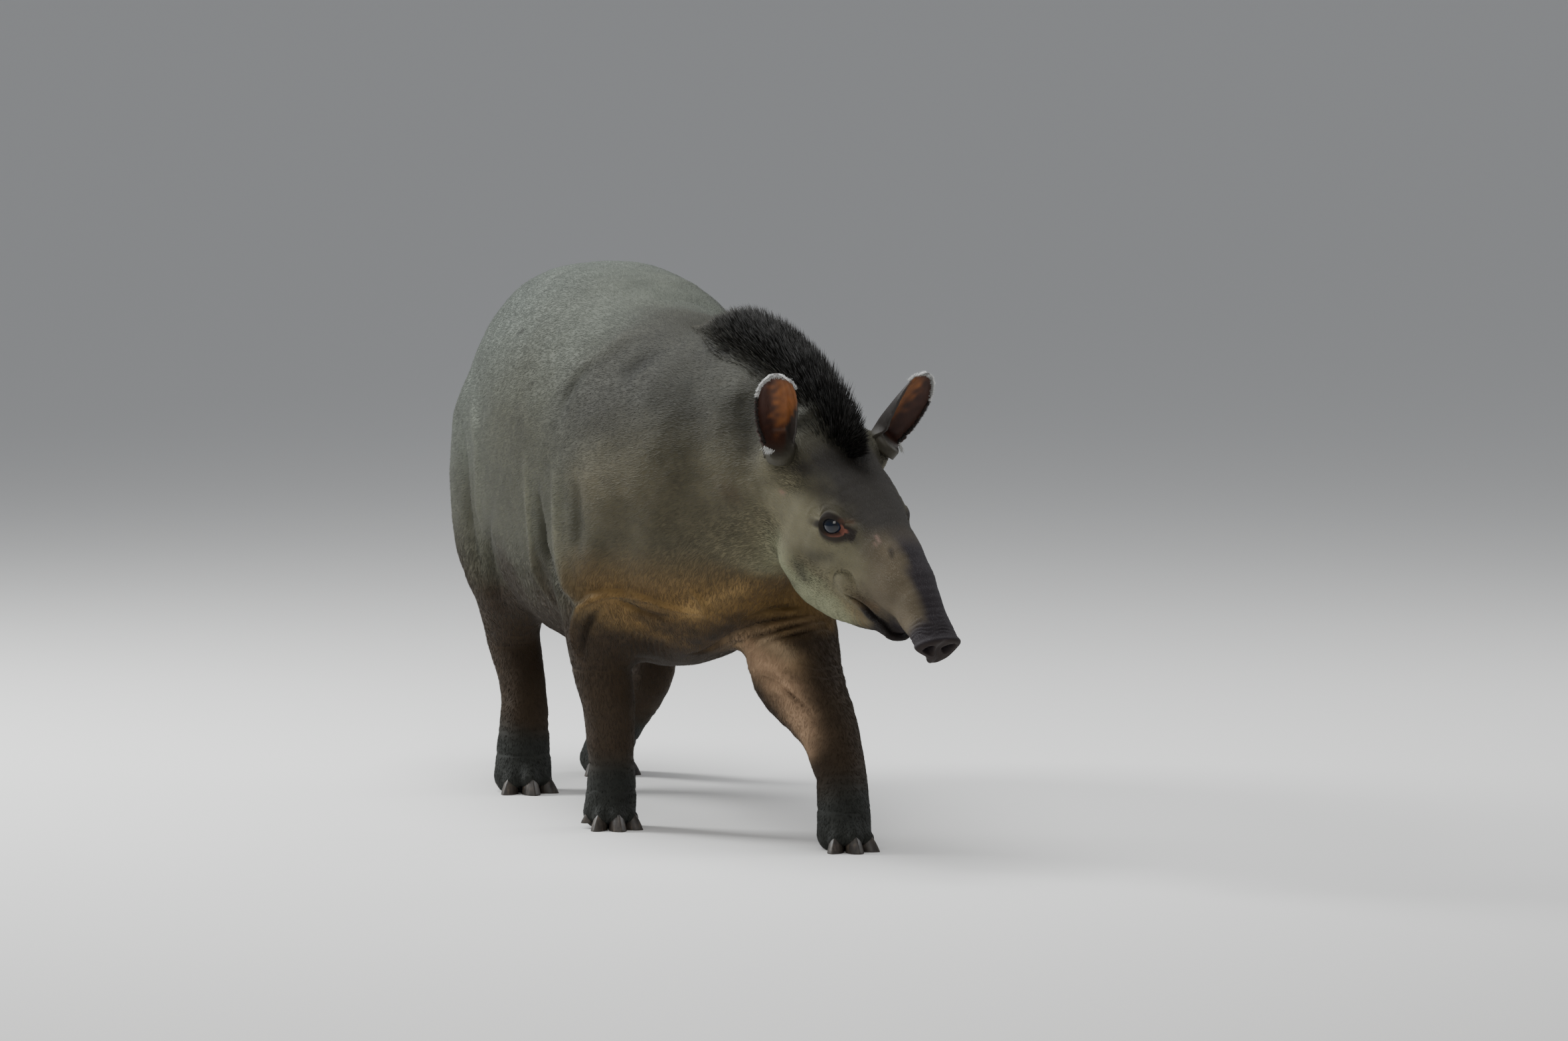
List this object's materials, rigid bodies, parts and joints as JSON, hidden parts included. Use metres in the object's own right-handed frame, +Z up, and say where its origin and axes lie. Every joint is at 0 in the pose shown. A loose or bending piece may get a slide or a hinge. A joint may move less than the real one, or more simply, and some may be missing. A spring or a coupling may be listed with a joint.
{
  "type": "lowland tapir",
  "caption": "Life-size lowland tapir walking, with a crested neck, cupped ears, a long drooping snout, a stub of a tail and hoofed toes.",
  "frame": {"origin": "on the floor, under the middle of the box round the animal", "axes": "+X towards the head, +Y to the animal's left, +Z up"},
  "size_m": [1.8758, 0.6154, 1.03],
  "materials": {
    "coat": "short velvety grey-brown coat",
    "cheek_coat": "short pale grey coat",
    "leg_coat": "short dark brown coat",
    "ear_skin": "bare skin, thinly haired",
    "eye": "wet, dark and glossy",
    "hoof_horn": "dark worn horn"
  },
  "bodies": {
    "root": {"ear_left": "ear_skin", "ear_right": "ear_skin", "eye_left": "eye", "eye_right": "eye", "foreleg_left": "leg_coat", "foreleg_right": "leg_coat", "head": "coat", "hindleg_left": "leg_coat", "hindleg_right": "leg_coat", "hoof_foreleg_left_1": "hoof_horn", "hoof_foreleg_left_2": "hoof_horn", "hoof_foreleg_left_3": "hoof_horn", "hoof_foreleg_left_4": "hoof_horn", "hoof_foreleg_right_1": "hoof_horn", "hoof_foreleg_right_2": "hoof_horn", "hoof_foreleg_right_3": "hoof_horn", "hoof_foreleg_right_4": "hoof_horn", "hoof_hindleg_left_1": "hoof_horn", "hoof_hindleg_left_2": "hoof_horn", "hoof_hindleg_left_3": "hoof_horn", "hoof_hindleg_right_1": "hoof_horn", "hoof_hindleg_right_2": "hoof_horn", "hoof_hindleg_right_3": "hoof_horn", "lower_jaw": "cheek_coat", "neck": "coat", "snout": "coat", "tail": "coat", "torso": "coat"}
  },
  "joints": []
}
